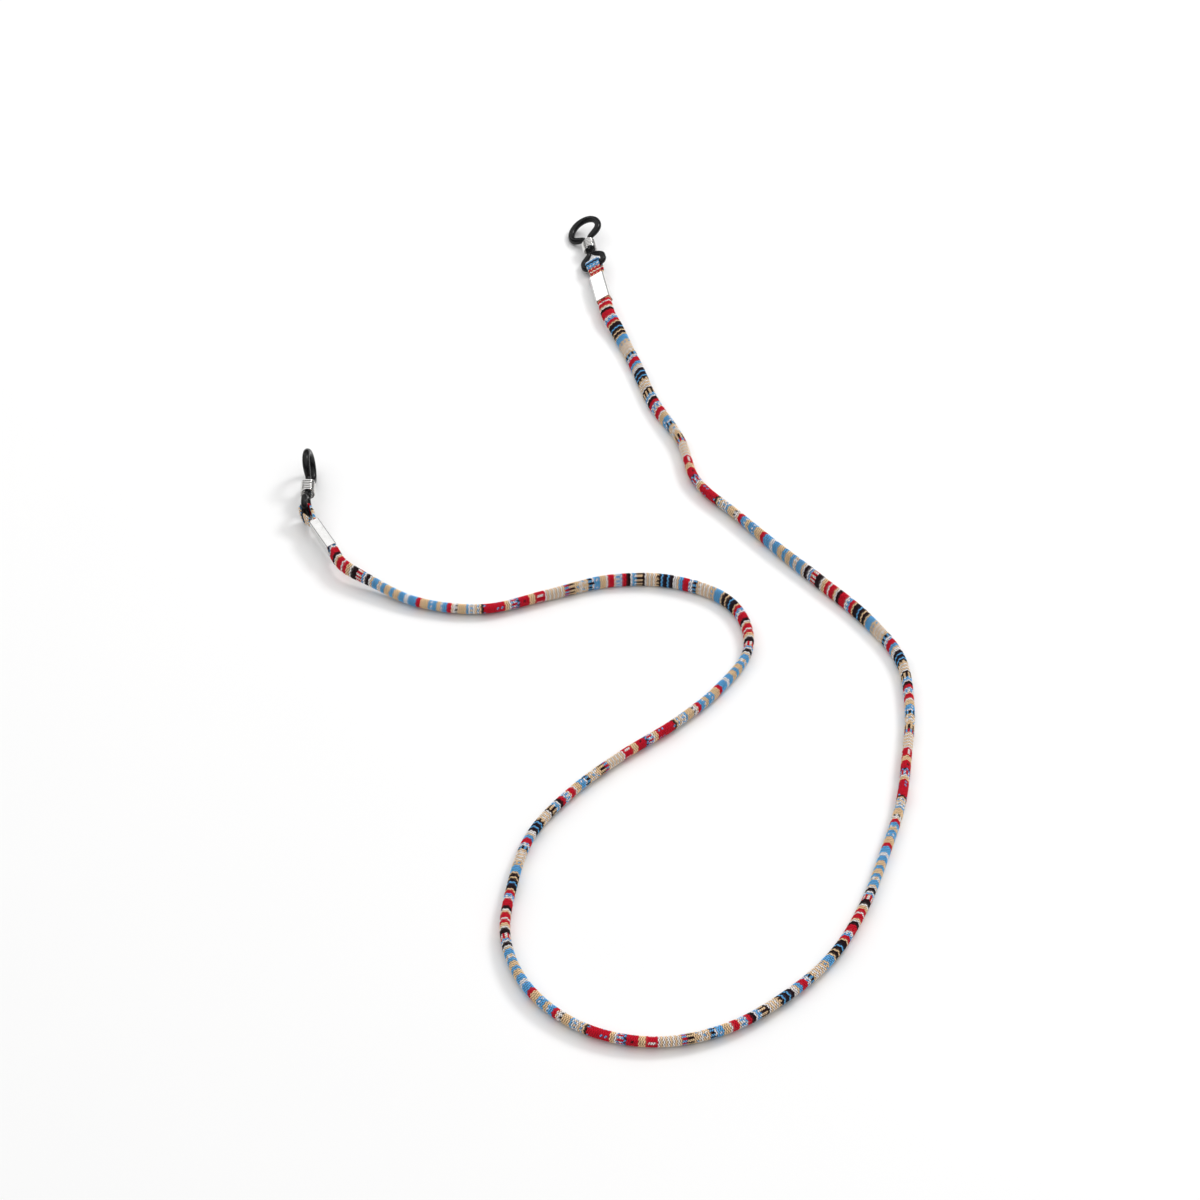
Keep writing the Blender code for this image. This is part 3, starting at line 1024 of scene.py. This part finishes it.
def filler_strands(course):
    """Three loose strands that wind round each other inside the sleeve."""
    cord = bpy.context.scene.strap_cord
    colours = bpy.context.scene.strap_yarns
    twist_pitch = 11.0 * MM
    offset_wide = 0.95 * MM
    offset_deep = 0.42 * MM
    run = runs_along(course.places)
    strands = []
    for index in range(3):
        phase = 2.0 * math.pi * (run / twist_pitch + index / 3.0)
        places = (
            course.places
            + course.wide * (offset_wide * np.cos(phase))[:, None]
            + course.deep * (offset_deep * np.sin(phase))[:, None]
        )
        inner = slice(8, len(places) - 8, 4)
        line = Course(places[inner], course.wide[inner], cord.strand_radius, cord.strand_radius)
        strands.append(sweep("filler_strand", line, 8, domed=0.2 * MM))
    material = filler_material("filler_yarn", colours.filler)
    item = join_pieces("filler_strands", strands)
    item.data.materials.clear()
    item.data.materials.append(material)
    return item


class StrapStudio(Operator):
    """Camera, floor and soft studio light"""

    bl_idname = "strap.studio"
    bl_label = "Studio"

    def execute(self, context):
        studio = context.scene.strap_studio
        scene = context.scene
        scene.view_settings.view_transform = "Standard"
        add_camera(scene, studio)
        add_floor(studio)
        add_lights(scene, studio)
        return {"FINISHED"}


def add_camera(scene, studio):
    """A camera that looks along +Y and down at the strap."""
    data = bpy.data.cameras.new("camera")
    data.lens = studio.lens
    data.sensor_width = 36.0
    data.clip_start = 0.02
    data.clip_end = 20.0
    camera = bpy.data.objects.new("camera", data)
    back = Vector((0.0, -math.cos(studio.elevation), math.sin(studio.elevation)))
    camera.location = Vector(studio.centre) + back * studio.distance
    camera.rotation_euler = (math.pi / 2.0 - studio.elevation, 0.0, 0.0)
    scene.collection.objects.link(camera)
    scene.camera = camera


def add_floor(studio):
    """The surface that the strap lies on."""
    half = studio.floor_size / 2.0
    corners = [(-half, -half, 0.0), (half, -half, 0.0), (half, half, 0.0), (-half, half, 0.0)]
    floor = mesh_object("floor", corners, [(0, 1, 2, 3)], smooth=False)
    floor.data.materials.append(floor_material("table_top"))


def add_area_light(name, place, target, size, power):
    """A soft square light that faces the target."""
    data = bpy.data.lights.new(name, "AREA")
    data.shape = "SQUARE"
    data.size = size
    data.energy = power
    light = bpy.data.objects.new(name, data)
    light.location = place
    toward = Vector(target) - Vector(place)
    light.rotation_euler = toward.to_track_quat("-Z", "Y").to_euler()
    bpy.context.scene.collection.objects.link(light)


def add_lights(scene, studio):
    """A small key light and a low softbox behind, under a pale sky with a dark horizon."""
    add_area_light("key_light", KEY_PLACE, studio.centre, KEY_SIZE, studio.key_power)
    add_area_light("low_softbox", LOW_PLACE, LOW_TARGET, LOW_SIZE, studio.low_power)
    world = bpy.data.worlds.new("studio_sky")
    world.use_nodes = True
    tree = world.node_tree
    direction = add_node(tree, "ShaderNodeTexCoord").outputs["Generated"]
    upward = add_node(tree, "ShaderNodeSeparateXYZ", {"Vector": direction}).outputs["Z"]
    sky = add_node(tree, "ShaderNodeMapRange", {
        "Value": upward,
        "From Min": math.sin(studio.horizon),
        "From Max": math.sin(studio.sky_start),
        "To Min": DARK_HORIZON * studio.sky_strength,
        "To Max": studio.sky_strength,
    }, interpolation_type="SMOOTHSTEP").outputs["Result"]
    seen = add_node(tree, "ShaderNodeLightPath").outputs["Is Camera Ray"]
    strength = add_node(tree, "ShaderNodeMath", {0: seen, 1: sky}, operation="MAXIMUM")
    background = tree.nodes["Background"]
    background.inputs["Color"].default_value = (1.0, 1.0, 1.0, 1.0)
    tree.links.new(strength.outputs["Value"], background.inputs["Strength"])
    scene.world = world


class StrapCord(Operator):
    """The woven sleeve and the filler strands inside it"""

    bl_idname = "strap.cord"
    bl_label = "Woven cord"

    def execute(self, context):
        cord = context.scene.strap_cord
        colours = context.scene.strap_yarns
        course, length = cord_course()
        draft = read_draft(CORD_DRAFT)
        sleeve = weave_ground("woven_ground", course, draft, cord.first_row)
        finish_piece(sleeve, ground_material("ground_weave", colours.ground), "strap")
        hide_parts("woven_sleeve")
        strands = filler_strands(course)
        finish_piece(strands, None, "strap")
        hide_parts("filler_core")
        floats = []
        middle = len(course.places) // 2
        halves = (("near", 0, middle), ("far", middle, 2 * middle))
        for number, (word, first, last) in enumerate(halves):
            seats = float_seats(
                word + "_seats", course, draft, cord.first_row, cord.columns, seed=11 + number,
                keep=lambda station: (station >= first) & (station < last),
            )
            floats.extend(weave_floats("cord_" + word, seats, 21 + 10 * number))
        for item in floats:
            finish_piece(item, None, "strap")
        return {"FINISHED"}


# --- End fittings -----------------------------------------------------------------------------


def fold_line():
    """The fold's middle line in its end's frame: out of the crimp, round the eye and back."""
    eyes = bpy.context.scene.strap_eyes
    crimps = bpy.context.scene.strap_crimps
    mouth = -crimps.reach
    far = mouth - crimps.length + eyes.setback
    share = np.linspace(0.0, 1.0, 40)
    ease = share * share * (3.0 - 2.0 * share)
    rise_x = mouth * (1.0 - share)
    rise_z = eyes.layer_offset + (eyes.bend_radius - eyes.layer_offset) * ease
    out_x = np.concatenate([[far], rise_x])
    out_z = np.concatenate([[eyes.layer_offset], rise_z])
    angles = np.linspace(0.5 * math.pi, -0.5 * math.pi, 40)[1:-1]
    x = np.concatenate([out_x, eyes.bend_radius * np.cos(angles), out_x[::-1]])
    z = np.concatenate([out_z, eyes.bend_radius * np.sin(angles), -out_z[::-1]])
    return np.stack([x, np.zeros(len(x)), z], axis=1)


def fold_course(side):
    """The fold's course in place, and its middle line in its end's frame."""
    cord = bpy.context.scene.strap_cord
    crimps = bpy.context.scene.strap_crimps
    eyes = bpy.context.scene.strap_eyes
    line = fold_line()
    rows = int(round(runs_along(line)[-1] / cord.row_pitch))
    at = crimp_frame(side)
    local = resampled(line, 2 * rows + 1)
    places = placed(at, local)
    half_wide = eyes.half_width + eyes.spread * eased(local[:, 0], -0.8 * crimps.reach, 0.0)
    course = Course(places, at[:3, 1], half_wide, eyes.half_depth, FOLD_SQUARENESS)
    return course, local


class StrapEyes(Operator):
    """The cord's folded ends, which hold the rubber loops"""

    bl_idname = "strap.eyes"
    bl_label = "Cord eyes"

    def execute(self, context):
        cord = context.scene.strap_cord
        crimps = context.scene.strap_crimps
        hidden = -crimps.reach - 1.0 * MM
        ground_finish = bpy.data.materials["ground_weave"]
        for number, side in enumerate(SIDES):
            course, local = fold_course(side)
            draft = read_draft(EYE_DRAFTS[side])
            mouth_row = int(np.argmax(local[:, 0] > -crimps.reach)) // 2
            ground = weave_ground(side + "_eye_ground", course, draft, -mouth_row)
            finish_piece(ground, ground_finish, "strap")
            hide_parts(side + "_cord_eye")
            seats = float_seats(
                side + "_eye_seats", course, draft, -mouth_row, cord.columns - 4,
                seed=31 + number, keep=lambda station: local[station, 0] > hidden,
            )
            pieces = weave_floats(side + "_eye", seats, 41 + number)
            floats = join_pieces(side + "_eye_floats", pieces)
            finish_piece(floats, None, "strap")
        return {"FINISHED"}


def crimp_section(inset):
    """The folded sheet's outline and inside line, from one edge of the seam round to the other."""
    crimps = bpy.context.scene.strap_crimps
    lines = []
    for depth in (inset, crimps.wall - inset):
        half_width = crimps.width / 2.0 - depth
        half_height = crimps.height / 2.0 - depth
        corner = max(crimps.corner - depth, 0.1 * MM)
        line = [(crimps.seam / 2.0 + inset, -half_height)]
        corners = ((1, -1, 270), (1, 1, 0), (-1, 1, 90), (-1, -1, 180))
        for across, up, start in corners:
            for step in range(7):
                angle = math.radians(start + 15.0 * step)
                y = across * (half_width - crimps.crown - corner) + corner * math.cos(angle)
                z = up * (half_height - corner) + corner * math.sin(angle)
                line.append((y, z))
            for share in CROWN_STEPS if across * up < 0 else ():
                z = up * share * (half_height - corner)
                line.append((across * (half_width - crimps.crown * share * share), z))
        line.append((-crimps.seam / 2.0 - inset, -half_height))
        lines.append(line)
    return lines


def crimp_mesh(side):
    """A flat tube folded from sheet, with softened ends and an open seam on its back."""
    crimps = bpy.context.scene.strap_crimps
    start = -crimps.reach - crimps.length
    soften = [(0.0, 0.09), (0.03, 0.04), (0.09, 0.0)]
    stations = [(start + run * MM, inset * MM) for run, inset in soften]
    stations += [(start + crimps.length * share, 0.0) for share in (0.25, 0.5, 0.75)]
    stations += [(start + crimps.length - run * MM, inset * MM) for run, inset in reversed(soften)]
    points = []
    for x, inset in stations:
        outer, inner = crimp_section(inset)
        points.extend((x, y, z) for y, z in outer + inner[::-1])
    ring = len(points) // len(stations)
    half = ring // 2
    faces = []
    for station in range(len(stations) - 1):
        near = station * ring
        far = near + ring
        for step in range(ring):
            beside = (step + 1) % ring
            faces.append((near + step, near + beside, far + beside, far + step))
    last = (len(stations) - 1) * ring
    for step in range(half - 1):
        inside = ring - 1 - step
        faces.append((step, inside, inside - 1, step + 1))
        faces.append((last + step, last + step + 1, last + inside - 1, last + inside))
    return mesh_object(side + "_crimp_sheet", placed(crimp_frame(side), points), faces)


class StrapCrimps(Operator):
    """The folded metal crimps that clamp the cord's ends"""

    bl_idname = "strap.crimps"
    bl_label = "Crimps"

    def execute(self, context):
        steel = steel_material("polished_steel")
        for side in SIDES:
            item = crimp_mesh(side)
            item.data.set_sharp_from_angle(angle=math.radians(32.0))
            finish_piece(item, steel, "strap")
            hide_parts(side + "_crimp")
        return {"FINISHED"}


def loop_line():
    """Half of the rubber loop's middle line and its radii, from the eye to the tip."""
    loops = bpy.context.scene.strap_loops
    side_reach = loops.foot_half_width + loops.foot_bend
    half = [(0.0, y, loops.foot_radius) for y in np.linspace(0.0, loops.foot_half_width, 6)]
    for angle in np.radians(np.linspace(7.5, 90.0, 12)):
        x = loops.foot_bend * (1.0 - math.cos(angle))
        y = loops.foot_half_width + loops.foot_bend * math.sin(angle)
        half.append((x, y, loops.foot_radius))
    shoulder = 2.7 * MM
    for share in np.linspace(0.0, 1.0, 18):
        ease = (1.0 - math.cos(math.pi * share)) / 2.0
        x = shoulder + (loops.neck_start - shoulder) * share
        y = side_reach + (loops.neck_half_width - side_reach) * ease
        radius = loops.foot_radius + (loops.neck_radius - loops.foot_radius) * ease
        half.append((x, y, radius))
    lobe_centre = loops.tip - loops.radius - loops.lobe_half_width
    throat = loops.neck_end + 1.5 * MM
    for x in np.linspace(loops.neck_start, loops.neck_end, 10)[1:-1]:
        half.append((x, loops.neck_half_width, loops.neck_radius))
    for share in np.linspace(0.0, 1.0, 24):
        rest = 1.0 - share
        widening = 3.0 * rest * share**2 + share**3
        x = loops.neck_end * rest**3 + throat * 3.0 * rest * share + lobe_centre * share**3
        y = loops.neck_half_width + (loops.lobe_half_width - loops.neck_half_width) * widening
        radius = loops.neck_radius + (loops.radius - loops.neck_radius) * min(1.0, 2.0 * share)
        half.append((x, y, radius))
    for angle in np.radians(np.linspace(5.0, 90.0, 18)):
        x = lobe_centre + loops.lobe_half_width * math.sin(angle)
        y = loops.lobe_half_width * math.cos(angle)
        half.append((x, y, loops.radius))
    return np.array(half)


class StrapLoops(Operator):
    """The rubber loops that hold the temple arms"""

    bl_idname = "strap.loops"
    bl_label = "Rubber loops"

    def execute(self, context):
        rubber = rubber_material("black_rubber")
        half = loop_line()
        mirrored = half[-2:0:-1] * (1.0, -1.0, 1.0)
        whole = np.concatenate([half, mirrored])
        around = np.concatenate([whole[-3:, 2], whole[:, 2], whole[:3, 2]])
        radii = np.convolve(around, np.ones(7) / 7.0, mode="valid")
        local = np.stack([whole[:, 0], whole[:, 1], np.zeros(len(whole))], axis=1)
        for side in SIDES:
            at = loop_frame(side)
            course = Course(placed(at, local), at[:3, 2], radii, radii, closed=True)
            item = sweep(side + "_rubber_ring", course, 24)
            finish_piece(item, rubber, side + "_loop")
            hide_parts(side + "_rubber_loop")
        return {"FINISHED"}


def coil_line():
    """The wire's middle line in the loop's frame: a round helix over the neck's two strands."""
    loops = bpy.context.scene.strap_loops
    coils = bpy.context.scene.strap_coils
    radius = loops.neck_half_width + loops.neck_radius + coils.gap + coils.wire_radius
    share = np.linspace(0.0, 1.0, int(coils.turns * 40) + 1)
    angle = 2.0 * math.pi * coils.turns * share
    x = coils.centre + coils.pitch * coils.turns * (share - 0.5)
    return np.stack([x, radius * np.sin(angle), radius * np.cos(angle)], axis=1)


class StrapCoils(Operator):
    """The wire coils that slide on the rubber loops' necks"""

    bl_idname = "strap.coils"
    bl_label = "Wire coils"

    def execute(self, context):
        coils = context.scene.strap_coils
        wire = wire_material("bright_wire")
        line = coil_line()
        for side in SIDES:
            at = loop_frame(side)
            course = Course(placed(at, line), at[:3, 0], coils.wire_radius, coils.wire_radius)
            item = sweep(side + "_wire_coil", course, 16, domed=0.1 * MM)
            finish_piece(item, wire, side + "_coil")
            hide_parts(side + "_cinch_coil")
        return {"FINISHED"}


# --- Add-on -----------------------------------------------------------------------------------


OPERATORS = (StrapStudio, StrapCord, StrapEyes, StrapCrimps, StrapLoops, StrapCoils)


class StrapPanel(Panel):
    """Buttons that build the strap, piece by piece"""

    bl_idname = "VIEW3D_PT_strap"
    bl_label = "Retainer strap"
    bl_space_type = "VIEW_3D"
    bl_region_type = "UI"
    bl_category = "Strap"

    def draw(self, context):
        column = self.layout.column(align=True)
        for operator in OPERATORS:
            column.operator(operator.bl_idname)


def register():
    """Add the settings, the operators and the panel."""
    for name, group in SETTINGS.items():
        bpy.utils.register_class(group)
        setattr(bpy.types.Scene, name, PointerProperty(type=group))
    for item in (*OPERATORS, StrapPanel):
        bpy.utils.register_class(item)


def unregister():
    """Take them away again."""
    for item in reversed((*OPERATORS, StrapPanel)):
        bpy.utils.unregister_class(item)
    for name, group in SETTINGS.items():
        delattr(bpy.types.Scene, name)
        bpy.utils.unregister_class(group)


def main():
    """Build the strap and its stage."""
    register()
    bpy.ops.strap.studio()
    bpy.ops.strap.cord()
    bpy.ops.strap.eyes()
    bpy.ops.strap.crimps()
    bpy.ops.strap.loops()
    bpy.ops.strap.coils()


if __name__ == "__main__":
    main()
